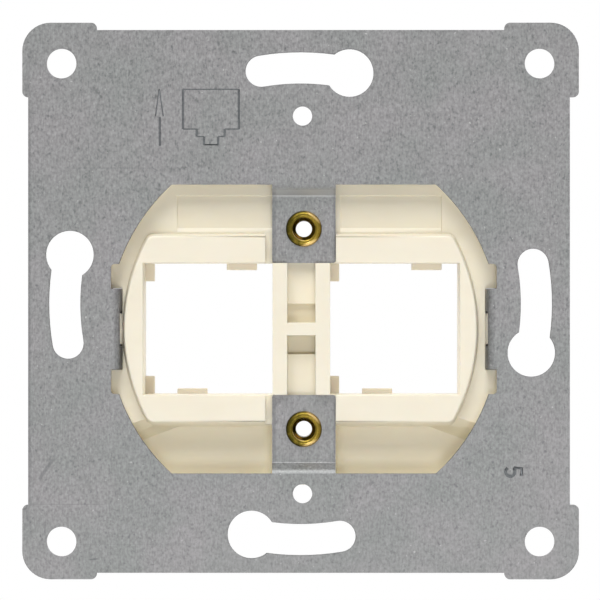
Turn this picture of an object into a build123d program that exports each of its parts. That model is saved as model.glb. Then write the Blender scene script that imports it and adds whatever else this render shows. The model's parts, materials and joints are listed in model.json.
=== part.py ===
from build123d import *
import os

# Modular jack faceplate: a square support plate of galvanised sheet that carries a moulded insert
# with two jack openings. The plate's tongues reach in front of the insert and hold a threaded bush
# each, and its side flaps are bent back and lock in the insert.
#
# X runs to the right, Z runs up and Y runs into the wall. The origin is the middle of the plate's
# screw circle on the face that lies against the wall, so the front looks towards -Y. Sizes are in
# millimetres.

# Support plate
plate_size = 71.0
plate_z = 0.35
sheet = 1.0
plate_corner_radius = 3.6
tab_length = 9.5
tab_corner_radius = 0.7
inset_top = 0.93
inset_bottom = 0.82
inset_left = 0.75
inset_right = 1.15

# Holes in the plate, at these distances from its edges
corner_hole_margin = 5.0
corner_hole_radius = 1.9
corner_hole_drop = 0.2
guide_hole_margin = 11.4
guide_hole_radius = 1.23
guide_hole_x = 0.25
guide_hole_drop = 0.5
screw_circle_margin = 5.4
key_head_radius = 3.05
key_head_angle = 12.0
key_slot_width = 4.0
key_slot_angle = 9.6

# Window in the plate, and the group of bent features round it
window_x = 0.42
window_z = -3.23
window_margin = 10.5
window_half_height = 18.44
window_corner_radius = 0.5
relief_step = 0.38
relief_half_height = 8.3
relief_corner_radius = 0.45

# Side flaps, bent back through the insert
flap_inset = 1.7
flap_height = 10.3
flap_end = 8.2
flap_bend_radius = 0.2
flap_corner_radius = 0.8
catch_window_height = 4.5
catch_window_start = -0.45
catch_window_end = 7.1

# Tongues, stepped back so that the cover sits flat
tongue_width = 8.1
tongue_length = 10.0
tongue_step = 1.4
tongue_step_run = 1.15
tongue_bend_radius = 0.25
tongue_corner_radius = 0.3
bush_margin = 5.64

# Threaded bushes with an M2.5 thread, left at its minor diameter here
bush_bore_radius = 1.04
bush_mouth_radius = 1.33
bush_lip_radius = 2.3
bush_lip_edge = 0.28
bush_lip_dome = 0.26
bush_neck_radius = 1.8
bush_collar_radius = 2.2
bush_length = 5.0
bush_mouth_depth = 0.45
rivet_clearance = 0.02

# Insert: tray behind the window
tray_depth = 3.5
tray_floor = 1.6
tray_rim_overlap = 0.25
tray_end_overlap = 0.45
tray_rim = 0.85
tray_rim_height = 1.0
trough_half_width = 14.3
trough_end_drop = 4.0
trough_slope_angle = 50.0
seat_clearance = 0.05
boss_half_width = 4.1
boss_cove_radius = 1.2

# Insert: raised frame round the jacks
frame_proud = 0.6
frame_side_gap = 2.5
frame_half_height = 11.9
frame_arc_rise = 1.6
frame_corner_radius = 1.0
frame_draft_angle = 8.7
frame_edge_radius = 0.3
split_half_width = 4.52

# Insert: jack openings and the collars behind them
jack_group_x = 0.1
frame_side = 2.27
jack_height = 16.85
column_width = 7.36
collar_wall = 1.4
collar_end = 12.4
collar_corner_radius = 0.6

# Insert: centre column between the jacks
groove_width = 3.58
groove_depth = 2.2
groove_well_depth = 3.2
groove_well_height = 6.4
column_rib = 1.64
rear_groove_start = 7.0

# Insert: stops and latches for the jacks
stop_width = 1.2
stop_height = 2.3
stop_depth = 9.4
stop_thickness = 1.5
latch_width = 3.9
latch_thickness = 2.0
latch_depth = 8.6
upper_latch_reach = 0.85
upper_latch_offset = 12.5
lower_latch_reach = 0.7
lower_latch_offset = 6.1

# Insert: recessed label fields above the frame
label_width = 12.9
label_height = 4.1
label_depth = 0.3
label_slope_run = 0.6
left_label_x = -9.35
right_label_x = 11.55
label_z = 15.0

# Insert: passages for the flaps and the bushes, and the catches that hold the flaps
flap_inner_clearance = 0.05
flap_outer_clearance = 0.25
flap_end_clearance = 0.05
catch_width = 1.45
catch_height = 4.0
catch_nose = 0.7
catch_end_clearance = 0.15
catch_length = 1.4
bush_clearance = 0.3

half_plate = plate_size / 2
corner_hole_spacing = plate_size - 2 * corner_hole_margin
guide_hole_spacing = plate_size - 2 * guide_hole_margin
screw_circle_radius = half_plate - screw_circle_margin
window_radius = half_plate - window_margin
relief_reach = window_radius - relief_step
flap_face = window_radius - flap_inset
frame_half_width = window_radius - frame_side_gap
frame_arc_radius = frame_half_width + frame_arc_rise
jack_width = frame_half_width - column_width / 2 - frame_side
plate_centre = (0, plate_z)
window_centre = (window_x, window_z)
block_centre = (0, window_z)
jack_centre = (jack_group_x, window_z)
tongue_tip = window_half_height - tongue_length
bush_spacing = 2 * (window_half_height - bush_margin)
tongue_front = tongue_step - sheet
tongue_back = tongue_step
shelf_depth = tongue_back + seat_clearance
tray_back = tray_depth + tray_floor
rim_radius = window_radius + tray_rim_overlap
rim_half_height = window_half_height + tray_end_overlap
jack_x = (column_width + jack_width) / 2


def facing_plane(depth, centre=(0, 0)):
    """A plane that faces the room, at a depth behind the plate's wall face."""
    return Plane(origin=(centre[0], depth, centre[1]), x_dir=(1, 0, 0), z_dir=(0, -1, 0))


# One keyhole, which opens at its round head and narrows to a slot along the screw circle
with BuildSketch() as keyhole:
    with PolarLocations(screw_circle_radius, 1, start_angle=-key_head_angle):
        Circle(key_head_radius)
    slot_line = CenterArc((0, 0), screw_circle_radius, -key_head_angle,
                          key_head_angle + key_slot_angle, mode=Mode.PRIVATE)
    SlotArc(slot_line, key_slot_width)

# Support plate
with BuildPart() as support_plate:
    with BuildSketch(facing_plane(0, plate_centre)) as plate_outline:
        RectangleRounded(plate_size, plate_size, plate_corner_radius)
        edge_run = plate_size - 2 * tab_length
        with Locations((0, half_plate)):
            Rectangle(edge_run, 2 * inset_top, mode=Mode.SUBTRACT)
        with Locations((0, -half_plate)):
            Rectangle(edge_run, 2 * inset_bottom, mode=Mode.SUBTRACT)
        with Locations((-half_plate, 0)):
            Rectangle(2 * inset_left, edge_run, mode=Mode.SUBTRACT)
        with Locations((half_plate, 0)):
            Rectangle(2 * inset_right, edge_run, mode=Mode.SUBTRACT)
        tab_corners = plate_outline.vertices().group_by(SortBy.DISTANCE)[-2]
        fillet(tab_corners, tab_corner_radius)
        with Locations((0, -corner_hole_drop)):
            with GridLocations(corner_hole_spacing, corner_hole_spacing, 2, 2):
                Circle(corner_hole_radius, mode=Mode.SUBTRACT)
        with Locations((guide_hole_x, -guide_hole_drop)):
            with GridLocations(0, guide_hole_spacing, 1, 2):
                Circle(guide_hole_radius, mode=Mode.SUBTRACT)
    extrude(amount=sheet)
    with BuildSketch(facing_plane(0)):
        with PolarLocations(0, 4):
            add(keyhole.sketch)
    extrude(amount=sheet, mode=Mode.SUBTRACT)

    with BuildSketch(facing_plane(0, window_centre)) as window_cut:
        Circle(window_radius)
        Rectangle(2 * window_radius, 2 * window_half_height, mode=Mode.INTERSECT)
        fillet(window_cut.vertices(), window_corner_radius)
        RectangleRounded(2 * relief_reach, 2 * relief_half_height, relief_corner_radius)
    extrude(amount=sheet, mode=Mode.SUBTRACT)

    for side in (-1, 1):
        flap_middle = window_x + side * (flap_face + sheet / 2)
        with BuildSketch(Plane.XY.offset(window_z)):
            with BuildLine():
                FilletPolyline(
                    (window_x + side * (window_radius + sheet), -sheet / 2),
                    (flap_middle, -sheet / 2),
                    (flap_middle, flap_end),
                    radius=flap_bend_radius + sheet / 2,
                )
            trace(line_width=sheet)
        extrude(amount=flap_height / 2, both=True)
        window_middle = (catch_window_start + catch_window_end) / 2
        with Locations((flap_middle, window_middle, window_z)):
            Box(sheet + 2 * flap_bend_radius, catch_window_end - catch_window_start,
                catch_window_height, mode=Mode.SUBTRACT)
    flap_corners = support_plate.edges().filter_by(Axis.X).group_by(Axis.Y)[-1]
    fillet(flap_corners, flap_corner_radius)

    for side in (-1, 1):
        with BuildSketch(Plane.YZ.offset(window_x)):
            with BuildLine():
                FilletPolyline(
                    (-sheet / 2, window_z + side * (window_half_height + sheet)),
                    (-sheet / 2, window_z + side * window_half_height),
                    (tongue_step - sheet / 2, window_z + side * (window_half_height - tongue_step_run)),
                    (tongue_step - sheet / 2, window_z + side * tongue_tip),
                    radius=tongue_bend_radius + sheet / 2,
                )
            trace(line_width=sheet)
        extrude(amount=tongue_width / 2, both=True)
    with BuildSketch(facing_plane(tongue_back, window_centre)):
        with GridLocations(0, bush_spacing, 1, 2):
            Circle(bush_neck_radius + rivet_clearance)
    extrude(amount=sheet, mode=Mode.SUBTRACT)
    tip_corners = (
        support_plate.edges()
        .filter_by(Axis.Y)
        .filter_by(lambda edge: abs(abs(edge.center().Z - window_z) - tongue_tip) < tongue_corner_radius)
        .filter_by(lambda edge: abs(edge.center().X - window_x) < tongue_width)
    )
    fillet(tip_corners, tongue_corner_radius)

# Threaded bushes, riveted in the tongues
bushes = {}
for bush_name, side in (("upper_threaded_bush", 1), ("lower_threaded_bush", -1)):
    bush_z = window_z + side * bush_spacing / 2
    with BuildPart() as bush:
        with BuildSketch(Plane.XY.offset(bush_z).shift_origin((window_x, 0, bush_z))):
            lip_middle = (bush_mouth_radius + bush_lip_radius) / 2
            with BuildLine():
                lip = ThreePointArc(
                    (bush_mouth_radius, tongue_front - bush_lip_edge),
                    (lip_middle, tongue_front - bush_lip_edge - bush_lip_dome),
                    (bush_lip_radius, tongue_front - bush_lip_edge),
                )
                Polyline(
                    lip @ 1,
                    (bush_lip_radius, tongue_front),
                    (bush_neck_radius, tongue_front),
                    (bush_neck_radius, tongue_back),
                    (bush_collar_radius, tongue_back),
                    (bush_collar_radius, tongue_front + bush_length),
                    (bush_bore_radius, tongue_front + bush_length),
                    (bush_bore_radius, tongue_front + bush_mouth_depth),
                    lip @ 0,
                )
            make_face()
        revolve(axis=Axis((window_x, 0, bush_z), (0, 1, 0)))
    bushes[bush_name] = bush

# Insert
with BuildSketch() as tray_outline:
    Circle(rim_radius)
    Rectangle(2 * rim_radius, 2 * rim_half_height, mode=Mode.INTERSECT)
    Rectangle(2 * (relief_reach + tray_rim_overlap), 2 * (relief_half_height + tray_rim_overlap))

with BuildPart() as tray_hollow:
    # Trough below the frame, with sloped ends
    with BuildSketch(facing_plane(tray_depth, window_centre)):
        trough_top = -frame_half_height
        with BuildLine():
            Polyline(
                (-trough_half_width, trough_top),
                (trough_half_width, trough_top),
                (rim_radius, trough_top - trough_end_drop),
                (rim_radius, -rim_radius),
                (-rim_radius, -rim_radius),
                (-rim_radius, trough_top - trough_end_drop),
                close=True,
            )
        make_face()
    extrude(amount=tray_depth - shelf_depth, taper=-trough_slope_angle)
    # The boss in the trough carries the lower tongue
    with BuildSketch(facing_plane(tray_depth, window_centre)):
        with Locations((0, -rim_half_height)):
            Rectangle(2 * boss_half_width, 2 * rim_half_height)
    extrude(amount=tray_depth - shelf_depth, mode=Mode.SUBTRACT)
    boss_feet = (
        tray_hollow.edges()
        .filter_by(Axis.Z)
        .filter_by(lambda edge: abs(edge.center().X - window_x) < boss_half_width + seat_clearance)
        .group_by(Axis.Y)[-1]
    )
    fillet(boss_feet, boss_cove_radius)
    with BuildSketch(facing_plane(tray_depth, window_centre)):
        add(tray_outline.sketch)
    extrude(amount=tray_depth, mode=Mode.INTERSECT)
    # The shelf round the frame carries the upper tongue
    with BuildSketch(facing_plane(shelf_depth, window_centre)):
        add(tray_outline.sketch)
    extrude(amount=shelf_depth)

with BuildPart() as jack_insert:
    with BuildSketch(facing_plane(tray_back, window_centre)):
        Circle(rim_radius + tray_rim)
        Rectangle(2 * (rim_radius + tray_rim), 2 * (rim_half_height + tray_rim_height),
                  mode=Mode.INTERSECT)
        Rectangle(2 * (relief_reach + tray_rim_overlap + tray_rim),
                  2 * (relief_half_height + tray_rim_overlap + tray_rim_height))
    extrude(amount=tray_back)
    add(tray_hollow.part, mode=Mode.SUBTRACT)

    # Raised frame, drafted so that it is wider at its foot
    with BuildSketch(facing_plane(-frame_proud, block_centre)) as frame_face:
        arc_centre = frame_arc_radius - frame_half_width
        with Locations((-arc_centre, 0)):
            Circle(frame_arc_radius)
        with Locations((arc_centre, 0)):
            Circle(frame_arc_radius, mode=Mode.INTERSECT)
        Rectangle(2 * frame_half_width, 2 * frame_half_height, mode=Mode.INTERSECT)
        fillet(frame_face.vertices(), frame_corner_radius)
    extrude(amount=tray_depth + frame_proud, dir=(0, 1, 0), taper=-frame_draft_angle)
    frame_edges = jack_insert.faces().sort_by(Axis.Y)[0].edges()
    fillet(frame_edges, frame_edge_radius)

    # Collars behind the tray, one round each jack
    with BuildSketch(facing_plane(collar_end, jack_centre)):
        RectangleRounded(2 * jack_width + column_width + 2 * collar_wall,
                         jack_height + 2 * collar_wall, collar_corner_radius)
    extrude(amount=collar_end - tray_depth)
    with BuildSketch(facing_plane(collar_end, jack_centre)):
        Rectangle(column_width - 2 * collar_wall, jack_height)
    extrude(amount=collar_end - rear_groove_start, mode=Mode.SUBTRACT)

    # Jack openings
    with BuildSketch(facing_plane(collar_end, jack_centre)):
        with GridLocations(2 * jack_x, 0, 2, 1):
            Rectangle(jack_width, jack_height)
    extrude(amount=collar_end + frame_proud, mode=Mode.SUBTRACT)

    # The frame is split for the tongues
    split_length = frame_half_height + tray_depth - jack_height / 2
    with BuildSketch(facing_plane(shelf_depth, block_centre)):
        with GridLocations(0, jack_height + split_length, 1, 2):
            Rectangle(2 * split_half_width, split_length)
    extrude(amount=shelf_depth + frame_proud, mode=Mode.SUBTRACT)

    # Centre column: a groove with a deeper well, crossed by a rib
    with BuildSketch(facing_plane(-frame_proud + groove_depth, jack_centre)):
        Rectangle(groove_width, jack_height)
        Rectangle(groove_width, column_rib, mode=Mode.SUBTRACT)
    extrude(amount=groove_depth, mode=Mode.SUBTRACT)
    with BuildSketch(facing_plane(-frame_proud + groove_well_depth, jack_centre)):
        Rectangle(groove_width, groove_well_height)
        Rectangle(groove_width, column_rib, mode=Mode.SUBTRACT)
    extrude(amount=groove_well_depth, mode=Mode.SUBTRACT)

    # Recessed label fields, with a sloped lower side
    for label_x in (left_label_x, right_label_x):
        with BuildSketch(Plane.YZ.offset(label_x)):
            label_top = window_z + label_z + label_height / 2
            label_bottom = window_z + label_z - label_height / 2
            with BuildLine():
                Polyline(
                    (shelf_depth, label_top),
                    (shelf_depth + label_depth, label_top),
                    (shelf_depth + label_depth, label_bottom),
                    (shelf_depth, label_bottom - label_slope_run),
                    close=True,
                )
            make_face()
        extrude(amount=label_width / 2, both=True, mode=Mode.SUBTRACT)

    # Stops at the left corners of each jack opening, near its rear end
    for opening_x in (-jack_x, jack_x):
        with BuildSketch(facing_plane(stop_depth + stop_thickness, jack_centre)):
            with Locations((opening_x - jack_width / 2, 0)):
                with GridLocations(0, jack_height - stop_height, 1, 2):
                    Rectangle(2 * stop_width, stop_height)
        extrude(amount=stop_thickness)
        left_wall = opening_x - jack_width / 2
        with BuildSketch(facing_plane(latch_depth + latch_thickness, jack_centre)):
            with Locations((left_wall + upper_latch_offset, jack_height / 2)):
                Rectangle(latch_width, 2 * upper_latch_reach)
            with Locations((left_wall + lower_latch_offset, -jack_height / 2)):
                Rectangle(latch_width, 2 * lower_latch_reach)
        extrude(amount=latch_thickness)

    # Passages for the flaps
    slot_inner = flap_face - flap_inner_clearance
    slot_outer = flap_face + sheet + flap_outer_clearance
    with BuildSketch(facing_plane(tray_back, window_centre)):
        with GridLocations(slot_inner + slot_outer, 0, 2, 1):
            Rectangle(slot_outer - slot_inner, flap_height + 2 * flap_end_clearance)
    extrude(amount=tray_back + frame_proud, mode=Mode.SUBTRACT)

    # Catches: a post behind the tray at each flap, whose nose stands in the flap's window
    catch_end = catch_window_end - catch_end_clearance
    catch_foot = slot_inner - catch_width
    for side in (-1, 1):
        with BuildSketch(Plane.XY.offset(window_z)):
            with BuildLine():
                Polyline(
                    (window_x + side * catch_foot, tray_depth),
                    (window_x + side * slot_inner, tray_depth),
                    (window_x + side * slot_inner, catch_end - catch_length),
                    (window_x + side * (flap_face + catch_nose), catch_end),
                    (window_x + side * catch_foot, catch_end),
                    close=True,
                )
            make_face()
        extrude(amount=catch_height / 2, both=True)

    # Passages for the bushes
    with BuildSketch(facing_plane(tray_back, window_centre)):
        with GridLocations(0, bush_spacing, 1, 2):
            Circle(bush_collar_radius + bush_clearance)
    extrude(amount=tray_back, mode=Mode.SUBTRACT)

support_plate.part.label = "support_plate"
export_step(support_plate.part, "parts/support_plate.step")
jack_insert.part.label = "jack_insert"
export_step(jack_insert.part, "parts/jack_insert.step")
for bush_name, bush in bushes.items():
    bush.part.label = bush_name
    export_step(bush.part, f"parts/{bush_name}.step")
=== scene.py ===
import json
import logging
import math
from dataclasses import dataclass, field
from enum import Enum
from typing import Any

import bmesh
import bpy
from mathutils import Matrix, Vector

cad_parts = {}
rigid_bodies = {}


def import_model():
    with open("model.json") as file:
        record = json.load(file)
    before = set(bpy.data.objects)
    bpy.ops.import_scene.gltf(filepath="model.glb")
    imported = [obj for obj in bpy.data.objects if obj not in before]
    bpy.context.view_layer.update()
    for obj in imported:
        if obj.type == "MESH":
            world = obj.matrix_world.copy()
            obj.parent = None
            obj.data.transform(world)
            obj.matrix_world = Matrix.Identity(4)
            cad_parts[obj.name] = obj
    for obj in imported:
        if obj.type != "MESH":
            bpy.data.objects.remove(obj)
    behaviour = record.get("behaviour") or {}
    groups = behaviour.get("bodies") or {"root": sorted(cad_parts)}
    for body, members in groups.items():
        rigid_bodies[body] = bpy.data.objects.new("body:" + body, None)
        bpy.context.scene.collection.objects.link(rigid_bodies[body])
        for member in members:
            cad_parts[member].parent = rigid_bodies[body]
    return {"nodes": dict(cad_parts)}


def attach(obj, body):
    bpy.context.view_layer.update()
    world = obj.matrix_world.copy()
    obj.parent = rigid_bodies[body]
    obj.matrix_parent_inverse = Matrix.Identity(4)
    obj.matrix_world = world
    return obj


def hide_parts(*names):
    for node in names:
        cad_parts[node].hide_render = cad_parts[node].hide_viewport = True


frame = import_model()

# A millimetre in metres, and where the plate's front face lies along Y, in millimetres
MM = 0.001
PLATE_FRONT = -1.0

# The span that holds most values of a noise pattern, and the span of a whole share
MOST = (0.3, 0.7)
WHOLE = (0.0, 1.0)

# How far a wave pattern of scale one turns over one unit, in radians
WAVE_TURN = 20.0

Socket = bpy.types.NodeSocket
Colour = tuple[float, float, float]
Triple = tuple[float, float, float]
Pair = tuple[float, float]
Path = list[Pair]

log = logging.getLogger("faceplate")


def mm(*values: float) -> Vector:
    """A point given in millimetres, in metres."""
    return Vector([value * MM for value in values])


class Stroke(Enum):
    """Width and depth of a stamped line, in millimetres."""

    BROAD = (0.3, 0.12)
    FINE = (0.17, 0.08)
    DIGIT = (0.4, 0.12)


Mark = tuple[Stroke, Path]


class Surface(Enum):
    """The record's material slots."""

    STEEL = "galvanised_steel"
    PLASTIC = "cream_plastic"
    BRASS = "brass"


@dataclass(frozen=True)
class SheetLine:
    """A faint straight line on the front of the sheet, in millimetres and degrees: a scratch, a line of
    painted shade, or a painted highlight.

    It has its middle right and up of the origin, its turn, its size and the share in which it shows.
    """

    right: float
    up: float
    turn: float
    length: float
    width: float
    share: float


class NodeGraph:
    """Builds a node tree, and holds the moves that all kinds of tree share."""

    def __init__(self, tree: bpy.types.NodeTree) -> None:
        """Takes over a tree and empties it.

        Args:
            tree: The tree to build.
        """
        self.tree = tree
        self.tree.nodes.clear()

    def add(self, kind: str, **values: Any) -> bpy.types.Node:
        """Adds a node.

        Args:
            kind: The node's type name.
            **values: Attributes of the node to set.

        Returns:
            The new node.
        """
        node = self.tree.nodes.new(kind)
        for key, value in values.items():
            setattr(node, key, value)
        return node

    def link(self, start: Socket, end: Socket) -> None:
        """Joins two sockets."""
        self.tree.links.new(start, end)

    def feed(self, value: Any, socket: Socket) -> None:
        """Links a socket to another one, or sets its own value.

        Args:
            value: A socket, or a value of the kind that the socket takes.
            socket: The socket that takes it.
        """
        if isinstance(value, Socket):
            self.link(value, socket)
        else:
            socket.default_value = value

    def maths(self, operation: str, first: Socket, second: Socket | float) -> Socket:
        """Combines two values.

        Args:
            operation: The Math node's operation.
            first: The first value's socket.
            second: A socket or a number.

        Returns:
            The result's socket.
        """
        node = self.add("ShaderNodeMath", operation=operation)
        self.link(first, node.inputs[0])
        self.feed(second, node.inputs[1])
        return node.outputs[0]

    def spread(self, value: Socket, span: Pair, to_span: Pair) -> Socket:
        """Maps a range of values to another range, clamped.

        Args:
            value: The value's socket.
            span: Start and end of its range.
            to_span: What the start and the end become.

        Returns:
            The mapped value's socket.
        """
        node = self.add("ShaderNodeMapRange")
        for key, number in zip(("From Min", "From Max", "To Min", "To Max"), (*span, *to_span)):
            node.inputs[key].default_value = number
        self.link(value, node.inputs["Value"])
        return node.outputs[0]

    def rays(self, *kinds: str) -> Socket:
        """Tells whether a ray of light is of one of the named kinds.

        Args:
            *kinds: Names of the Light Path node's outputs.

        Returns:
            The socket, which is one for such a ray and nought for others.
        """
        path = self.add("ShaderNodeLightPath")
        found = path.outputs[kinds[0]]
        for kind in kinds[1:]:
            found = self.maths("MAXIMUM", found, path.outputs[kind])
        return found


class ShaderGraph(NodeGraph):
    """Builds the node tree of one material, with its coordinates in millimetres."""

    def __init__(self, name: str) -> None:
        """Starts a tree with a Principled shader.

        Args:
            name: The material's name.
        """
        self.material = bpy.data.materials.new(name)
        self.material.use_nodes = True
        super().__init__(self.material.node_tree)
        self.output = self.add("ShaderNodeOutputMaterial")
        self.shader = self.add("ShaderNodeBsdfPrincipled")
        self.link(self.shader.outputs[0], self.output.inputs["Surface"])
        self.coordinates = self.add("ShaderNodeTexCoord")

    def set(self, **values: Any) -> None:
        """Sets the shader's own sockets, named with underscores for spaces."""
        for key, value in values.items():
            self.shader.inputs[key.replace("_", " ")].default_value = value

    def dress(self, colour: Socket, roughness: Socket, normal: Socket) -> None:
        """Joins patterns to the shader.

        Args:
            colour: The base colour's socket.
            roughness: The roughness' socket.
            normal: The normal's socket.
        """
        for name, socket in (("Base Color", colour), ("Roughness", roughness), ("Normal", normal)):
            self.link(socket, self.shader.inputs[name])

    def place(
        self, scale: Triple = (1.0, 1.0, 1.0), centre: Triple = (0.0, 0.0, 0.0), turn: float = 0.0
    ) -> Socket:
        """Object coordinates in millimetres, centred, turned and stretched.

        Args:
            scale: The stretch along each axis.
            centre: The point in millimetres that becomes the origin.
            turn: The turn about Y in degrees.

        Returns:
            The coordinates' socket.
        """
        shift = self.add("ShaderNodeMapping")
        shift.inputs["Location"].default_value = [-value for value in centre]
        shift.inputs["Scale"].default_value = (1 / MM,) * 3
        self.link(self.coordinates.outputs["Object"], shift.inputs["Vector"])
        stretch = self.add("ShaderNodeMapping")
        stretch.inputs["Rotation"].default_value = (0.0, math.radians(turn), 0.0)
        stretch.inputs["Scale"].default_value = scale
        self.link(shift.outputs[0], stretch.inputs["Vector"])
        return stretch.outputs[0]

    def noise(self, place: Socket, scale: float, detail: float = 2.0, roughness: float = 0.5) -> Socket:
        """A noise pattern.

        Args:
            place: The coordinates.
            scale: Cells to each unit of the coordinates.
            detail: Number of finer layers.
            roughness: Strength of the finer layers.

        Returns:
            The pattern's value socket.
        """
        node = self.add("ShaderNodeTexNoise")
        node.inputs["Scale"].default_value = scale
        node.inputs["Detail"].default_value = detail
        node.inputs["Roughness"].default_value = roughness
        self.link(place, node.inputs["Vector"])
        return node.outputs[0]

    def blend(
        self, share: Socket | float, first: Socket | Colour, second: Socket | Colour, mode: str = "MIX"
    ) -> Socket:
        """Mixes two colours.

        Args:
            share: A socket or a number, how much of the second colour shows.
            first: A socket or a colour.
            second: A socket or a colour.
            mode: The blend type.

        Returns:
            The mixed colour's socket.
        """
        node = self.add("ShaderNodeMix", data_type="RGBA", blend_type=mode)
        self.feed(share, node.inputs[0])
        for socket, value in ((node.inputs[6], first), (node.inputs[7], second)):
            self.feed((*value, 1.0) if isinstance(value, tuple) else value, socket)
        return node.outputs[2]

    def towards(self, place: Socket, way: Pair, span: Pair, to_span: Pair) -> Socket:
        """Maps how far a point lies to one side of the axis.

        Args:
            place: The coordinates about the axis.
            way: The side, right and up.
            span: Start and end of the range, in millimetres.
            to_span: What the start and the end become.

        Returns:
            The mapped value's socket.
        """
        dot = self.add("ShaderNodeVectorMath", operation="DOT_PRODUCT")
        self.link(place, dot.inputs[0])
        dot.inputs[1].default_value = (way[0], 0.0, way[1])
        return self.spread(dot.outputs["Value"], span, to_span)

    def depth(self, place: Socket, span: Pair) -> Socket:
        """Maps how far a point lies behind the face against the wall.

        Args:
            place: The coordinates.
            span: Depths in millimetres that become nought and one.

        Returns:
            The mapped value's socket.
        """
        split = self.add("ShaderNodeSeparateXYZ")
        self.link(place, split.inputs[0])
        return self.spread(split.outputs["Y"], span, WHOLE)

    def streak(self, line: SheetLine) -> Socket:
        """A straight line on the front of the sheet, which fades towards its sides and ends.

        Args:
            line: Where the line is and how strong it shows.

        Returns:
            The socket of the share in which the line shows at a point.
        """
        split = self.add("ShaderNodeSeparateXYZ")
        self.link(self.place(centre=(line.right, 0.0, line.up), turn=line.turn), split.inputs[0])
        across = self.maths("ABSOLUTE", split.outputs["Z"], 0.0)
        along = self.maths("ABSOLUTE", split.outputs["X"], 0.0)
        side = self.spread(across, (0.25 * line.width, 0.6 * line.width), (line.share, 0.0))
        end = self.spread(along, (0.3 * line.length, 0.5 * line.length), (1.0, 0.0))
        return self.maths("MULTIPLY", side, end)

    def bump(self, height: Socket, depth: float, strength: float, under: Socket | None = None) -> Socket:
        """Turns a height pattern into a surface normal.

        Args:
            height: The pattern's socket.
            depth: Height of the pattern in millimetres.
            strength: Share of the pattern that shows.
            under: The normal of a coarser bump below this one.

        Returns:
            The normal's socket.
        """
        node = self.add("ShaderNodeBump")
        node.inputs["Distance"].default_value = depth * MM
        node.inputs["Strength"].default_value = strength
        self.link(height, node.inputs["Height"])
        if under is not None:
            self.link(under, node.inputs["Normal"])
        return node.outputs[0]


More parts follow.
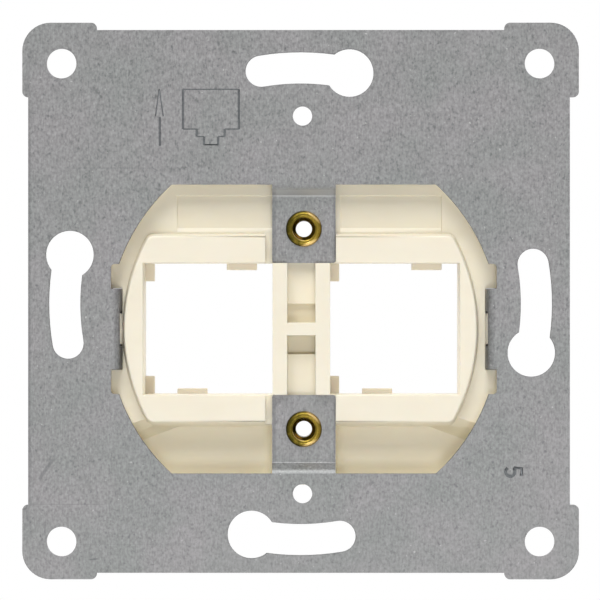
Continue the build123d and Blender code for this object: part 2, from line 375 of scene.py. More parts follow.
@dataclass(frozen=True)
class GalvanisedSteel:
    """Matt zinc coated sheet: a finely blotched grey with specks, flecks and faint scratches, with painted
    shade along some edges and a painted highlight along a bend.
    """

    name: str = "galvanised sheet"
    pale: Colour = (0.302, 0.301, 0.301)
    dull: Colour = (0.118, 0.118, 0.119)
    cool_tint: Colour = (0.93, 0.96, 0.945)
    warm_tint: Colour = (1.03, 1.015, 1.025)
    cloud_scale: float = 0.11
    blotch_width: float = 0.3
    blotch_length: float = 0.37
    blotch_share: float = 0.66
    blotch_height: float = 0.01
    grain_scale: float = 7.0
    grain_along: float = 0.9
    grain_height: float = 0.005
    relief: float = 0.5
    tone_span: Pair = (0.25, 0.75)
    cloud_span: Pair = (0.35, 0.65)
    speck_and_painted_shade: Colour = (0.07, 0.073, 0.077)
    speck_scale: float = 0.72
    speck_span: Pair = (0.62, 0.78)
    speck_share: float = 0.5
    fleck_and_painted_highlight: Colour = (0.44, 0.44, 0.43)
    fleck_scale: float = 2.1
    fleck_span: Pair = (0.72, 0.8)
    fleck_share: float = 0.6
    smooth: float = 0.43
    rough: float = 0.59
    metallic: float = 0.78
    scratches_and_painted_shade_lines: tuple[SheetLine, ...] = (
        # Scratches from tools and handling
        SheetLine(-24.3, 17.31, 0.0, 14.4, 0.12, 0.35),
        SheetLine(-29.6, -25.58, 0.0, 12.0, 0.12, 0.3),
        SheetLine(-21.5, -26.7, 0.0, 12.0, 0.1, 0.22),
        SheetLine(-24.0, -30.7, 0.0, 20.0, 0.1, 0.16),
        SheetLine(-32.43, -21.1, 55.6, 4.0, 0.5, 0.4),
        SheetLine(-26.4, -32.6, 6.0, 1.4, 0.22, 0.6),
        SheetLine(-32.6, -28.5, 86.0, 2.4, 0.2, 0.35),
        # Painted shade along the plate's left edge and along both sides of each tongue
        SheetLine(-34.75, 0.35, 90.0, 66.0, 0.75, 0.34),
        SheetLine(-3.4, 9.9, 90.0, 11.0, 0.55, 0.34),
        SheetLine(4.4, 9.9, 90.0, 11.0, 0.45, 0.3),
        SheetLine(-3.4, -16.2, 90.0, 11.0, 0.55, 0.34),
        SheetLine(4.4, -16.2, 90.0, 11.0, 0.45, 0.3),
    )
    # Painted highlight along the bend of the upper tongue
    painted_highlight_lines: tuple[SheetLine, ...] = (SheetLine(0.42, 14.2, 0.0, 11.0, 1.1, 0.7),)

    def material(self) -> bpy.types.Material:
        """Makes the finish.

        Returns:
            The new material.
        """
        graph = ShaderGraph(self.name)
        even = graph.place()
        across = 1 / self.blotch_width
        stretched = graph.place((across, across, 1 / self.blotch_length))
        blotch = graph.noise(stretched, 1.0)
        drawn = graph.place((self.grain_scale, self.grain_scale, self.grain_along))
        grain = graph.noise(drawn, 1.0, roughness=0.6)
        coarse = graph.spread(blotch, self.tone_span, (0.0, self.blotch_share))
        fine = graph.spread(grain, self.tone_span, (0.0, 1 - self.blotch_share))
        colour = graph.blend(graph.maths("ADD", coarse, fine), self.dull, self.pale)
        warmth = graph.spread(graph.noise(even, self.cloud_scale), self.cloud_span, WHOLE)
        tint = graph.blend(warmth, self.cool_tint, self.warm_tint)
        colour = graph.blend(1.0, colour, tint, "MULTIPLY")
        specks = graph.noise(stretched, self.speck_scale, 1.0)
        specks = graph.spread(specks, self.speck_span, (0.0, self.speck_share))
        colour = graph.blend(specks, colour, self.speck_and_painted_shade)
        flecks = graph.noise(even, self.fleck_scale, 1.0)
        flecks = graph.spread(flecks, self.fleck_span, (0.0, self.fleck_share))
        colour = graph.blend(flecks, colour, self.fleck_and_painted_highlight)
        # Painted highlights, in a pale grey
        for line in self.painted_highlight_lines:
            colour = graph.blend(graph.streak(line), colour, self.fleck_and_painted_highlight)
        # Scratches and lines of painted shade, in a dark grey
        for line in self.scratches_and_painted_shade_lines:
            colour = graph.blend(graph.streak(line), colour, self.speck_and_painted_shade)
        shine = graph.spread(blotch, MOST, (self.smooth, self.rough))
        under = graph.bump(blotch, self.blotch_height, self.relief)
        graph.dress(colour, shine, graph.bump(grain, self.grain_height, self.relief, under))
        graph.set(Metallic=self.metallic)
        return graph.material


@dataclass(frozen=True)
class CreamPlastic:
    """Satin moulded plastic that lets a little light through, with painted shade in its recesses and a
    painted tint of the light deeper behind, stronger the further back it lies.
    """

    colour: Colour = (0.865, 0.805, 0.665)
    flow_colour: Colour = (0.84, 0.775, 0.63)
    flow_scale: Triple = (0.12, 0.12, 0.3)
    painted_recess_shade: Colour = (0.96, 0.955, 0.91)
    painted_recess_shade_depths: Pair = (0.6, 2.4)
    painted_deep_light_tint: Colour = (0.97, 0.975, 1.05)
    painted_deep_light_depths: Pair = (4.0, 7.0)
    smooth: float = 0.37
    rough: float = 0.49
    texture_size: float = 0.09
    texture_height: float = 0.004
    wave_scale: float = 0.45
    wave_height: float = 0.03
    relief: float = 0.35
    scatter_share: float = 0.25
    scatter_colour: Colour = (1.0, 0.75, 0.45)
    scatter_depth: float = 0.9
    refraction: float = 1.55

    def material(self) -> bpy.types.Material:
        """Makes the finish.

        Returns:
            The new material.
        """
        graph = ShaderGraph("cream plastic")
        even = graph.place()
        flow = graph.spread(graph.noise(graph.place(self.flow_scale), 1.0), MOST, WHOLE)
        skin = graph.noise(even, 1 / self.texture_size, roughness=0.55)
        wave = graph.noise(even, self.wave_scale, 1.0)
        colour = graph.blend(flow, self.colour, self.flow_colour)
        # Painted shade in the recesses and a painted tint deep behind, by depth
        for tint, depths in ((self.painted_recess_shade, self.painted_recess_shade_depths), (self.painted_deep_light_tint, self.painted_deep_light_depths)):
            painted_light_colour = graph.blend(1.0, colour, tint, "MULTIPLY")
            colour = graph.blend(graph.depth(even, depths), colour, painted_light_colour)
        shine = graph.spread(skin, MOST, (self.smooth, self.rough))
        under = graph.bump(wave, self.wave_height, self.relief)
        graph.dress(colour, shine, graph.bump(skin, self.texture_height, self.relief, under))
        graph.set(
            Subsurface_Weight=self.scatter_share,
            Subsurface_Radius=self.scatter_colour,
            Subsurface_Scale=self.scatter_depth * MM,
            IOR=self.refraction,
        )
        return graph.material


@dataclass(frozen=True)
class TurnedBrass:
    """Tarnished brass with rings left by turning about the bush's axis, with painted highlights on its lip
    and at its mouth and painted shade towards its left side.
    """

    centre: Triple
    painted_highlight_colour: Colour = (0.85, 0.6, 0.25)
    plain: Colour = (0.2, 0.138, 0.022)
    tarnish_and_painted_shade: Colour = (0.05, 0.042, 0.006)
    ring_pitch: float = 0.6912
    ring_waver: float = 0.6
    ring_height: float = 0.004
    relief: float = 0.5
    stain_scale: float = 1.1
    stain_span: Pair = (0.3, 0.75)
    painted_shade_way: Pair = (0.9, 0.1)
    painted_shade_reach: Pair = (-2.3, 2.3)
    painted_shade_lean: Pair = (0.25, -0.25)
    painted_highlight_ways: tuple[Pair, ...] = ((0.66, 0.75), (0.42, -0.91))
    painted_highlight_span: Pair = (1.75, 2.05)
    painted_highlight_share: float = 0.75
    mouth_way: Pair = (-0.62, -0.78)
    mouth_span: Pair = (1.05, 1.3)
    mouth_radii: Pair = (1.42, 1.56)
    smooth: float = 0.24
    rough: float = 0.4

    def material(self) -> bpy.types.Material:
        """Makes the finish.

        Returns:
            The new material.
        """
        graph = ShaderGraph("turned brass")
        around = graph.place(centre=self.centre)
        rings = graph.add("ShaderNodeTexWave", wave_type="RINGS", rings_direction="Y")
        rings.inputs["Scale"].default_value = math.tau / (WAVE_TURN * self.ring_pitch)
        rings.inputs["Distortion"].default_value = self.ring_waver
        rings.inputs["Detail"].default_value = 2.0
        graph.link(around, rings.inputs["Vector"])
        stain = graph.noise(around, self.stain_scale, 3.0, 0.6)
        # Painted shade: darker towards the left side of the bush, lighter towards the right, added to the
        # real tarnish stain
        painted_side_shade = graph.towards(around, self.painted_shade_way, self.painted_shade_reach, self.painted_shade_lean)
        share = graph.spread(graph.maths("ADD", stain, painted_side_shade), self.stain_span, WHOLE)
        colour = graph.blend(share, self.plain, self.tarnish_and_painted_shade)
        # Painted highlights on the lip, at its upper right and at its bottom
        for way in self.painted_highlight_ways:
            painted_gleam = graph.towards(around, way, self.painted_highlight_span, (0.0, self.painted_highlight_share))
            colour = graph.blend(painted_gleam, colour, self.painted_highlight_colour)
        # Painted highlight on the inner edge of the mouth, at its lower left
        reach = graph.add("ShaderNodeVectorMath", operation="LENGTH")
        graph.link(graph.place((1.0, 0.0, 1.0), self.centre), reach.inputs[0])
        mouth = graph.spread(reach.outputs["Value"], self.mouth_radii, (self.painted_highlight_share, 0.0))
        facing = graph.towards(around, self.mouth_way, self.mouth_span, WHOLE)
        colour = graph.blend(graph.maths("MULTIPLY", mouth, facing), colour, self.painted_highlight_colour)
        shine = graph.spread(stain, MOST, (self.smooth, self.rough))
        graph.dress(colour, shine, graph.bump(rings.outputs[1], self.ring_height, self.relief))
        graph.set(Metallic=1.0)
        return graph.material


@dataclass(frozen=True)
class PalePaper:
    """Plain white floor that looks white to the camera and still takes the object's shadow."""

    colour: Colour = (0.82, 0.82, 0.82)
    fibre_colour: Colour = (0.8, 0.8, 0.8)
    fibre_scale: float = 0.6
    roughness: float = 0.9
    lift: float = 0.7

    def material(self) -> bpy.types.Material:
        """Makes the finish.

        Returns:
            The new material.
        """
        graph = ShaderGraph("pale paper")
        fibre = graph.noise(graph.place(), self.fibre_scale, 3.0)
        graph.link(graph.blend(fibre, self.colour, self.fibre_colour), graph.shader.inputs["Base Color"])
        graph.set(Roughness=self.roughness)
        seen = graph.rays("Is Camera Ray", "Is Glossy Ray")
        glow = graph.add("ShaderNodeEmission")
        graph.link(graph.maths("MULTIPLY", seen, self.lift), glow.inputs["Strength"])
        both = graph.add("ShaderNodeAddShader")
        graph.link(graph.shader.outputs[0], both.inputs[0])
        graph.link(glow.outputs[0], both.inputs[1])
        graph.link(both.outputs[0], graph.output.inputs["Surface"])
        return graph.material


class GeometryTree(NodeGraph):
    """Builds a Geometry Nodes tree with named inputs and one geometry output."""

    def __init__(self, name: str, sizes: tuple[str, ...]) -> None:
        """Starts a tree that takes geometry, some sizes and a material.

        Args:
            name: The tree's name.
            sizes: Names of its numbers.
        """
        super().__init__(bpy.data.node_groups.new(name, "GeometryNodeTree"))
        self.inputs: dict[str, str] = {}
        self.tree.interface.new_socket("Geometry", in_out="OUTPUT", socket_type="NodeSocketGeometry")
        self.take("Geometry", "NodeSocketGeometry")
        for size in sizes:
            self.take(size, "NodeSocketFloat")
        self.take("Material", "NodeSocketMaterial")
        self.entry = self.add("NodeGroupInput")

    def take(self, name: str, kind: str) -> None:
        """Adds a named input."""
        socket = self.tree.interface.new_socket(name, in_out="INPUT", socket_type=kind)
        self.inputs[name] = socket.identifier

    def given(self, name: str, socket: Socket) -> None:
        """Feeds a named input to a socket."""
        self.link(self.entry.outputs[name], socket)

    def sweep(self, path: Socket, section: Socket) -> Socket:
        """Sweeps a section along a path, with its sides kept level, and closes both ends.

        Args:
            path: The path's curve.
            section: The section's curve.

        Returns:
            The socket of the swept mesh.
        """
        upright = self.add("GeometryNodeSetCurveNormal", mode="Z_UP")
        self.link(path, upright.inputs["Curve"])
        swept = self.add("GeometryNodeCurveToMesh")
        swept.inputs["Fill Caps"].default_value = True
        self.link(upright.outputs["Curve"], swept.inputs["Curve"])
        self.link(section, swept.inputs["Profile Curve"])
        return swept.outputs["Mesh"]

    def finish(self, geometry: Socket) -> None:
        """Ends the tree in Set Material and Realize Instances.

        Args:
            geometry: The socket of the finished geometry.
        """
        dress = self.add("GeometryNodeSetMaterial")
        self.link(geometry, dress.inputs["Geometry"])
        self.given("Material", dress.inputs["Material"])
        real = self.add("GeometryNodeRealizeInstances")
        self.link(dress.outputs[0], real.inputs[0])
        leave = self.add("NodeGroupOutput")
        self.link(real.outputs[0], leave.inputs[0])

    def grown_from(self, data: Any, **values: Any) -> bpy.types.Mesh:
        """Runs the tree on a curve or a mesh and returns the result as a plain mesh.

        Args:
            data: The curve or the mesh that goes in.
            **values: The named inputs, with underscores for spaces.

        Returns:
            The new mesh.
        """
        carrier = linked("carrier", data)
        modifier = carrier.modifiers.new("grow", "NODES")
        modifier.node_group = self.tree
        for key, value in values.items():
            modifier[self.inputs[key.replace("_", " ")]] = value
        mesh = baked(carrier)
        carrier.modifiers.remove(modifier)
        dropped(carrier)
        return mesh


def baked(thing: bpy.types.Object) -> bpy.types.Mesh:
    """Applies all modifiers of an object.

    Args:
        thing: The object, which stays as it is.

    Returns:
        The result as a plain mesh.
    """
    bpy.context.view_layer.update()
    graph = bpy.context.evaluated_depsgraph_get()
    return bpy.data.meshes.new_from_object(
        thing.evaluated_get(graph), preserve_all_data_layers=True, depsgraph=graph
    )


def linked(name: str, data: Any) -> bpy.types.Object:
    """Puts a new object in the scene.

    Args:
        name: The object's name.
        data: Its mesh, curve, lamp or camera data.

    Returns:
        The new object.
    """
    thing = bpy.data.objects.new(name, data)
    bpy.context.scene.collection.objects.link(thing)
    return thing


def dropped(thing: bpy.types.Object) -> None:
    """Removes a helper object from the file."""
    bpy.data.objects.remove(thing, do_unlink=True)


def merged_copy(
    node: bpy.types.Object, name: str, weld: float = 0.0005, flat: float = 0.4
) -> bpy.types.Object:
    """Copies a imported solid, with its loose triangles joined and its flat faces made whole.

    Args:
        node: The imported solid.
        name: Name of the copy.
        weld: Corners closer than this many millimetres become one.
        flat: Faces that meet at less than this many degrees become one.

    Returns:
        The copy, in the scene.
    """
    shape = bmesh.new()
    shape.from_mesh(node.data)
    bmesh.ops.remove_doubles(shape, verts=shape.verts, dist=weld * MM)
    bmesh.ops.dissolve_limit(
        shape, angle_limit=math.radians(flat), verts=shape.verts, edges=shape.edges
    )
    mesh = bpy.data.meshes.new(name)
    shape.to_mesh(mesh)
    shape.free()
    mesh.materials.clear()
    return linked(name, mesh)


def softened(
    thing: bpy.types.Object, width: float, segments: int, angle: float, spare: float = 2.2
) -> None:
    """Rounds an object's sharp outer edges with a live modifier, where there is room for it.

    Args:
        thing: The object.
        width: Width of the rounding in millimetres.
        segments: Faces across the rounding.
        angle: Edges sharper than this many degrees are rounded.
        spare: An edge stays sharp beside one that is shorter than this many widths.
    """
    room = spare * width * MM
    shape = bmesh.new()
    shape.from_mesh(thing.data)
    weight = shape.edges.layers.float.new("bevel_weight_edge")
    tight = {
        corner.index
        for corner in shape.verts
        if any(edge.calc_length() < room for edge in corner.link_edges)
    }
    for edge in shape.edges:
        if not edge.is_manifold or not edge.is_convex or edge.calc_face_angle() < math.radians(angle):
            continue
        if not any(corner.index in tight for corner in edge.verts):
            edge[weight] = 1.0
    shape.to_mesh(thing.data)
    shape.free()
    bevel = thing.modifiers.new("edges", "BEVEL")
    bevel.width = width * MM
    bevel.segments = segments
    bevel.limit_method = "WEIGHT"
    bevel.use_clamp_overlap = True


def settled(thing: bpy.types.Object, name: str, sharp: float) -> bpy.types.Object:
    """Turns an object with modifiers into a finished piece with even shading.

    Args:
        thing: The object, which is removed.
        name: Name of the finished piece.
        sharp: Edges sharper than this many degrees stay sharp.

    Returns:
        The finished piece.
    """
    first = linked(name + "_shaded", baked(thing))
    dropped(thing)
    first.data.shade_smooth()
    first.data.set_sharp_from_angle(angle=math.radians(sharp))
    weigh = first.modifiers.new("weigh", "WEIGHTED_NORMAL")
    weigh.keep_sharp = True
    piece = linked(name, baked(first))
    piece.data.name = name
    dropped(first)
    return piece


def outward(mesh: bpy.types.Mesh) -> bpy.types.Mesh:
    """Turns all faces of a closed mesh outwards.

    Args:
        mesh: The mesh, which is changed.

    Returns:
        The same mesh.
    """
    shape = bmesh.new()
    shape.from_mesh(mesh)
    bmesh.ops.recalc_face_normals(shape, faces=shape.faces)
    shape.to_mesh(mesh)
    shape.free()
    return mesh


def stood(mesh: bpy.types.Mesh, place: Vector) -> bpy.types.Mesh:
    """Turns a closed mesh so that its own Z points out of the wall, with its faces outwards.

    Args:
        mesh: The mesh, which is changed.
        place: Where its origin goes, in metres.

    Returns:
        The same mesh.
    """
    mesh.transform(Matrix.Translation(place) @ Matrix.Rotation(math.pi / 2, 4, "X"))
    return outward(mesh)


def lathed(name: str, profile: Path, centre: Pair, steps: int) -> bpy.types.Mesh:
    """Turns a closed profile about an axis that runs into the wall.

    Args:
        name: Name of the mesh.
        profile: Radius and depth of each point in millimetres, in order round the section.
        centre: Where the axis stands, in millimetres right and up.
        steps: Number of faces round the axis.

    Returns:
        The new mesh.
    """
    points: list[Vector] = []
    faces: list[tuple[int, int, int, int]] = []
    count = len(profile)
    for step in range(steps):
        turn = math.tau * step / steps
        for radius, depth in profile:
            right, up = centre[0] + radius * math.cos(turn), centre[1] + radius * math.sin(turn)
            points.append(mm(right, depth, up))
        here, there = step * count, (step + 1) % steps * count
        for index in range(count):
            after = (index + 1) % count
            faces.append((here + index, here + after, there + after, there + index))
    mesh = bpy.data.meshes.new(name)
    mesh.from_pydata(points, [], faces)
    return outward(mesh)


@dataclass
class StampedMarks:
    """The marks that a punch leaves in the plate's front: an arrow, a jack's outline and a digit, with
    painted shade on the faces of their grooves.
    """

    # A darker steel for the groove faces: painted shade in the grooves
    finish: GalvanisedSteel = GalvanisedSteel(
        "stamped sheet painted groove shade",
        pale=(0.16, 0.165, 0.17),
        dull=(0.07, 0.075, 0.08),
        fleck_and_painted_highlight=(0.2, 0.2, 0.2),
        scratches_and_painted_shade_lines=(),
        painted_highlight_lines=(),
    )

    def arrow(self) -> list[Mark]:
        """The arrow that shows which side goes up, in millimetres right and up of the origin.

        Returns:
            Its strokes.
        """
        tip, barb, foot = (-18.02, 27.4), 23.9, 20.15
        return [
            (Stroke.FINE, [tip, (-18.5, barb)]),
            (Stroke.FINE, [tip, (-17.5, barb)]),
            (Stroke.BROAD, [(-17.97, barb - 0.1), (-17.94, foot)]),
        ]

    def jack(self) -> list[Mark]:
        """The outline of a modular jack, seen from the front.

        Returns:
            Its strokes: broad upright ones and fine level ones.
        """
        left, right, top = -15.0, -7.87, 27.35
        foot, step, toe = 22.28, 21.33, 20.28
        mid_left, mid_right, toe_left, toe_right = -13.24, -9.68, -12.33, -10.52
        upright = [
            [(left, top), (left, foot)],
            [(right, top), (right, foot)],
            [(mid_left, foot), (mid_left, step)],
            [(mid_right, foot), (mid_right, step)],
            [(toe_left, step), (toe_left, toe)],
            [(toe_right, step), (toe_right, toe)],
        ]
        level = [
            [(left, top), (right, top)],
            [(left, foot), (mid_left, foot)],
            [(mid_right, foot), (right, foot)],
            [(mid_left, step), (toe_left, step)],
            [(toe_right, step), (mid_right, step)],
            [(toe_left, toe), (toe_right, toe)],
        ]
        return [(Stroke.BROAD, path) for path in upright] + [(Stroke.FINE, path) for path in level]

    def digit(self) -> list[Mark]:
        """The digit five, lying on its side as a tool number does.

        Returns:
            Its one stroke: the flag and the neck, then the bow.
        """
        middle, bow, radius, steps = (27.2, -21.45), (-0.02, -0.45), 0.6, 10
        path: Path = [(0.5, 1.0), (-0.45, 1.0), (-0.55, 0.12)]
        for step in range(steps + 1):
            turn = math.radians(125 - 270 * step / steps)
            path.append((bow[0] + radius * math.cos(turn), bow[1] + radius * math.sin(turn)))
        return [(Stroke.DIGIT, [(middle[0] + up, middle[1] - right) for right, up in path])]

    def tree(self) -> GeometryTree:
        """Makes the nodes that sweep a flat groove along a stroke.

        Returns:
            The finished tree.
        """
        made = GeometryTree("stamped stroke", ("Width", "Depth"))
        groove = made.add("GeometryNodeCurvePrimitiveQuadrilateral", mode="RECTANGLE")
        made.given("Width", groove.inputs["Width"])
        made.given("Depth", groove.inputs["Height"])
        made.finish(made.sweep(made.entry.outputs["Geometry"], groove.outputs["Curve"]))
        return made

    def cutters(self) -> bpy.types.Collection:
        """Builds one cutter for each stroke.

        Returns:
            The cutters, in a collection of their own.
        """
        tree = self.tree()
        # The cutters carry the darker steel, which the cut passes to the groove faces as painted shade
        steel = self.finish.material()
        made = bpy.data.collections.new("cutters")
        bpy.context.scene.collection.children.link(made)
        for index, (stroke, path) in enumerate(self.arrow() + self.jack() + self.digit()):
            curve = bpy.data.curves.new("stroke", "CURVE")
            curve.dimensions = "3D"
            spline = curve.splines.new("POLY")
            spline.points.add(len(path) - 1)
            for point, (right, up) in zip(spline.points, path):
                point.co = (right * MM, up * MM, 0.0, 1.0)
            width, depth = stroke.value
            mesh = tree.grown_from(curve, Width=width * MM, Depth=2 * depth * MM, Material=steel)
            mesh = stood(mesh, mm(0, PLATE_FRONT, 0))
            made.objects.link(bpy.data.objects.new(f"cutter_{index}", mesh))
        return made


@dataclass
class SupportPlate:
    """The punched and bent sheet, with the edges that punching rounds, painted shade on these rounded
    edges, and the stamped marks.
    """

    finish: GalvanisedSteel = field(default_factory=GalvanisedSteel)
    # A darker steel for the rounded edges: painted shade along them
    rim: GalvanisedSteel = GalvanisedSteel(
        "sheared rim painted shade",
        pale=(0.14, 0.143, 0.145),
        dull=(0.05, 0.053, 0.055),
        scratches_and_painted_shade_lines=(),
        painted_highlight_lines=(),
    )
    marks: StampedMarks = field(default_factory=StampedMarks)
    edge_width: float = 0.13
    edge_segments: int = 2
    edge_angle: float = 50.0
    crease_angle: float = 40.0

    def build(self) -> list[bpy.types.Object]:
        """Builds and dresses the plate.

        Returns:
            The finished pieces.
        """
        plate = merged_copy(frame["nodes"]["support_plate"], "plate_edges")
        for steel in (self.finish, self.rim):
            plate.data.materials.append(steel.material())
        softened(plate, self.edge_width, self.edge_segments, self.edge_angle)
        # The rounded edges take the darker steel, as painted shade
        plate.modifiers["edges"].material = 1
        cutters = self.marks.cutters()
        cut = plate.modifiers.new("marks", "BOOLEAN")
        cut.operation = "DIFFERENCE"
        cut.solver = "EXACT"
        cut.material_mode = "TRANSFER"
        cut.operand_type = "COLLECTION"
        cut.collection = cutters
        piece = settled(plate, "stamped_support_plate", self.crease_angle)
        for cutter in list(cutters.objects):
            dropped(cutter)
        bpy.data.collections.remove(cutters)
        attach(piece, "root")
        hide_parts("support_plate")
        return [piece]


@dataclass
class JackInsert:
    """The moulded insert with its satin skin and softly rounded edges."""

    finish: CreamPlastic = field(default_factory=CreamPlastic)
    edge_width: float = 0.1
    edge_segments: int = 2
    edge_angle: float = 32.0
    crease_angle: float = 28.0
    bend_width: float = 0.95
    bend_segments: int = 6
    bend_angle: float = 30.0
    bend_low: Triple = (14.0, 3.3, -18.5)
    bend_high: Triple = (24.0, 3.7, -14.0)
    level_within: float = 0.02

    def bends(self, shape: bmesh.types.BMesh) -> list[bmesh.types.BMEdge]:
        """Finds the level edges at the ends of the lower trough's floor, right and left.

        Args:
            shape: The insert's solid.

        Returns:
            The edges.
        """
        found: list[bmesh.types.BMEdge] = []
        for edge in shape.edges:
            ends = [corner.co / MM for corner in edge.verts]
            spans = [zip(self.bend_low, (abs(end.x), end.y, end.z), self.bend_high) for end in ends]
            inside = all(low < value < high for span in spans for low, value, high in span)
            level = abs(ends[0].y - ends[1].y) < self.level_within
            if inside and level and edge.is_manifold:
                if math.degrees(edge.calc_face_angle()) > self.bend_angle:
                    found.append(edge)
        return found

    def eased(self, thing: bpy.types.Object) -> None:
        """Rounds the bends of the lower trough widely, as its mould does.

        Args:
            thing: The insert before its edges are rounded.
        """
        shape = bmesh.new()
        shape.from_mesh(thing.data)
        bmesh.ops.bevel(
            shape,
            geom=self.bends(shape),
            offset=self.bend_width * MM,
            segments=self.bend_segments,
            profile=0.5,
            affect="EDGES",
            clamp_overlap=True,
        )
        shape.to_mesh(thing.data)
        shape.free()

    def build(self) -> list[bpy.types.Object]:
        """Builds and dresses the insert.

        Returns:
            The finished pieces.
        """
        insert = merged_copy(frame["nodes"]["jack_insert"], "insert_edges")
        insert.data.materials.append(self.finish.material())
        self.eased(insert)
        softened(insert, self.edge_width, self.edge_segments, self.edge_angle)
        piece = settled(insert, "moulded_jack_insert", self.crease_angle)
        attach(piece, "root")
        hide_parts("jack_insert")
        return [piece]


@dataclass
class ThreadedBush:
    """A turned brass bush whose rim is rolled over the tongue, with an M2.5 thread."""

    node: str
    axis_z: float
    axis_x: float = 0.42
    tongue_front: float = 0.4
    tongue_back: float = 1.4
    length: float = 5.0
    rim_height: float = 0.54
    rim_radius: float = 2.3
    crest_radius: float = 1.76
    mouth_radius: float = 1.34
    mouth_depth: float = 0.12
    mouth_share: float = 0.75
    mouth_steps: int = 8
    rim_steps: int = 10
    neck_radius: float = 1.8
    collar_radius: float = 2.2
    chamfer: float = 0.15
    thread_root: float = 1.25
    thread_crest: float = 1.04
    thread_start: float = 0.3
    thread_end: float = 0.35
    thread_steps: int = 44
    root_clearance: float = 0.01
    tooth_overlap: float = 0.03
    pitch: float = 0.45
    root_share: float = 0.92
    crest_share: float = 0.16
    steps: int = 112
    crease_angle: float = 34.0

    def profile(self) -> Path:
        """Works out the section of the bush from its mouth, round the rim, back to the bore.

        Returns:
            The points of the closed section.
        """
        front, back = self.tongue_front, self.tongue_front + self.length
        bore = self.thread_root + self.root_clearance
        points: Path = [(bore, front + self.mouth_depth)]
        inner, outer = self.crest_radius - self.mouth_radius, self.rim_radius - self.crest_radius
        for step in range(self.mouth_steps):
            turn = math.radians(90 * step / self.mouth_steps)
            rise = 1 - self.mouth_share + self.mouth_share * math.sin(turn)
            points.append((self.crest_radius - inner * math.cos(turn), front - self.rim_height * rise))
        for step in range(self.rim_steps + 1):
            turn = math.radians(90 * step / self.rim_steps)
            rise = math.cos(turn)
            points.append((self.crest_radius + outer * math.sin(turn), front - self.rim_height * rise))
        points += [
            (self.neck_radius, front),
            (self.neck_radius, self.tongue_back),
            (self.collar_radius - self.chamfer / 2, self.tongue_back),
            (self.collar_radius, self.tongue_back + self.chamfer / 2),
            (self.collar_radius, back - self.chamfer),
            (self.collar_radius - self.chamfer, back),
            (self.thread_root + 2 * self.chamfer, back),
            (bore, back - 2 * self.chamfer),
        ]
        return points

    def thread_tree(self) -> GeometryTree:
        """Makes the nodes that sweep the thread's tooth along its helix.

        Returns:
            The finished tree.
        """
        made = GeometryTree("thread", ("Radius", "Turns", "Height", "Root Width", "Crest Width", "Tooth"))
        helix = made.add("GeometryNodeCurveSpiral")
        helix.inputs["Resolution"].default_value = self.thread_steps
        for name, socket in (
            ("Turns", "Rotations"),
            ("Radius", "Start Radius"),
            ("Radius", "End Radius"),
            ("Height", "Height"),
        ):
            made.given(name, helix.inputs[socket])
        tooth = made.add("GeometryNodeCurvePrimitiveQuadrilateral", mode="TRAPEZOID")
        tooth.inputs["Offset"].default_value = 0.0
        for name, socket in (
            ("Root Width", "Bottom Width"),
            ("Crest Width", "Top Width"),
            ("Tooth", "Height"),
        ):
            made.given(name, tooth.inputs[socket])
        aim = made.add("GeometryNodeTransform")
        aim.inputs["Rotation"].default_value = (0.0, 0.0, math.pi / 2)
        made.link(tooth.outputs["Curve"], aim.inputs["Geometry"])
        made.finish(made.sweep(helix.outputs["Curve"], aim.outputs["Geometry"]))
        return made

    def thread(self, brass: bpy.types.Material) -> bpy.types.Mesh:
        """Winds the thread's tooth from the mouth to the rear end.

        Args:
            brass: The bush's material.

        Returns:
            The thread as a mesh, in place.
        """
        start = self.tongue_front + self.thread_start
        end = self.tongue_front + self.length - self.thread_end
        tooth = self.thread_root - self.thread_crest + self.tooth_overlap
        mesh = self.thread_tree().grown_from(
            bpy.data.meshes.new("thread"),
            Radius=(self.thread_crest + tooth / 2) * MM,
            Turns=(end - start) / self.pitch,
            Height=(end - start) * MM,
            Root_Width=self.pitch * self.root_share * MM,
            Crest_Width=self.pitch * self.crest_share * MM,
            Tooth=tooth * MM,
            Material=brass,
        )
        return stood(mesh, mm(self.axis_x, end, self.axis_z))

    def build(self) -> list[bpy.types.Object]:
        """Builds and dresses the bush.

        Returns:
            The finished pieces.
        """
        brass = TurnedBrass(centre=(self.axis_x, 0.0, self.axis_z)).material()
        body = lathed(self.node, self.profile(), (self.axis_x, self.axis_z), self.steps)
        body.materials.append(brass)
        shape = bmesh.new()
        shape.from_mesh(body)
        shape.from_mesh(self.thread(brass))
        shape.to_mesh(body)
        shape.free()
        piece = settled(linked("bush", body), "rolled_" + self.node, self.crease_angle)
        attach(piece, "root")
        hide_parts(self.node)
        return [piece]


@dataclass(frozen=True)
class Lamp:
    """A square soft lamp that points at the origin, in metres and watts."""

    name: str
    place: Triple
    power: float
    width: float

    def build(self) -> None:
        """Puts the lamp in the scene."""
        data = bpy.data.lights.new(self.name, "AREA")
        data.energy = self.power
        data.size = self.width
        lamp = linked(self.name, data)
        lamp.location = self.place
        lamp.rotation_euler = (-Vector(self.place)).to_track_quat("-Z", "Y").to_euler()


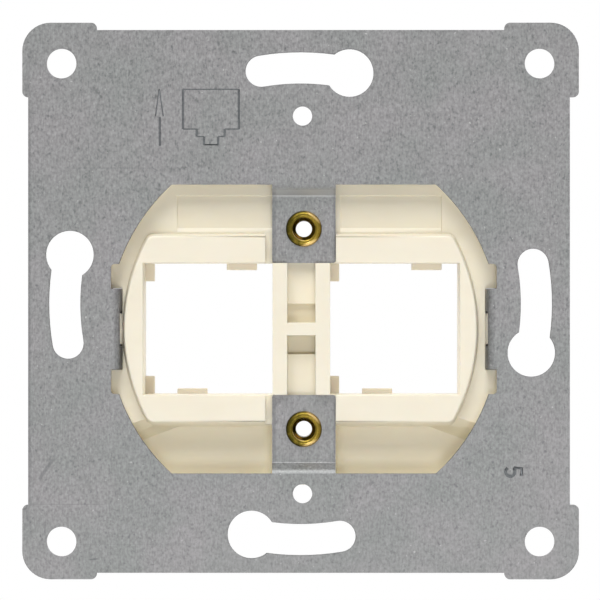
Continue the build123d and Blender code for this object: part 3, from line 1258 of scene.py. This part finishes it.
@dataclass
class Studio:
    """White surroundings, four lamps, a pale floor and a camera with the photograph's view."""

    ambient: float = 0.16
    lamps: tuple[Lamp, ...] = (
        Lamp("key", (-0.11, -0.66, 0.98), 12.5, 0.75),
        Lamp("low_fill", (0.05, -0.8, -0.27), 1.95, 0.25),
        Lamp("rear_left", (-0.85, 0.85, 0.6), 9.0, 0.7),
        Lamp("rear_right", (0.85, 0.85, 0.6), 9.0, 0.7),
    )
    floor_z: float = -320.0
    floor_radius: float = 1500.0
    floor_segments: int = 96
    distance: float = 650.0
    foot: Pair = (2.0, 0.0)
    aim: Pair = (-0.07, 0.475)
    pixels_per_mm: float = 7.84
    frame_pixels: float = 600.0
    sensor_width: float = 36.0

    def world(self) -> None:
        """Gives the world an even light, and shows it white to the camera, in metal and through glass."""
        world = bpy.data.worlds.new("studio")
        bpy.context.scene.world = world
        world.use_nodes = True
        graph = NodeGraph(world.node_tree)
        seen = graph.rays("Is Camera Ray", "Is Glossy Ray", "Is Transmission Ray")
        light = graph.add("ShaderNodeBackground")
        light.inputs["Color"].default_value = (1.0, 1.0, 1.0, 1.0)
        graph.link(graph.spread(seen, WHOLE, (self.ambient, 1.0)), light.inputs["Strength"])
        output = graph.add("ShaderNodeOutputWorld")
        graph.link(light.outputs[0], output.inputs["Surface"])

    def floor(self) -> None:
        """Lays a round pale floor below the object."""
        shape = bmesh.new()
        bmesh.ops.create_circle(
            shape, cap_ends=True, segments=self.floor_segments, radius=self.floor_radius * MM
        )
        mesh = bpy.data.meshes.new("floor")
        shape.to_mesh(mesh)
        shape.free()
        mesh.transform(Matrix.Translation(mm(0, 0, self.floor_z)))
        mesh.materials.append(PalePaper().material())
        linked("floor", mesh)

    def camera(self) -> None:
        """Sets up the camera in front of the plate, where the photograph was taken from."""
        data = bpy.data.cameras.new("camera")
        data.sensor_width = self.sensor_width
        data.lens = self.sensor_width * self.distance * self.pixels_per_mm / self.frame_pixels
        data.clip_start, data.clip_end = 0.01, 20.0
        camera = linked("camera", data)
        camera.location = mm(self.foot[0], PLATE_FRONT - self.distance, self.foot[1])
        ahead = mm(self.aim[0], PLATE_FRONT, self.aim[1]) - camera.location
        camera.rotation_euler = ahead.to_track_quat("-Z", "Y").to_euler()
        bpy.context.scene.camera = camera

    def build(self) -> None:
        """Sets up the whole studio."""
        bpy.context.scene.view_settings.view_transform = "Standard"
        self.world()
        for lamp in self.lamps:
            lamp.build()
        self.floor()
        self.camera()


def main() -> None:
    """Builds each sub-assembly in order and reports its pieces."""
    logging.basicConfig(level=logging.INFO, format="%(name)s: %(message)s")
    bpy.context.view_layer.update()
    parts = [
        SupportPlate(),
        JackInsert(),
        ThreadedBush("upper_threaded_bush", axis_z=9.57),
        ThreadedBush("lower_threaded_bush", axis_z=-16.03),
    ]
    for part in parts:
        for piece in part.build():
            triangles = sum(len(face.vertices) - 2 for face in piece.data.polygons)
            log.info("%s: %d triangles", piece.name, triangles)
    Studio().build()


if __name__ == "__main__":
    main()
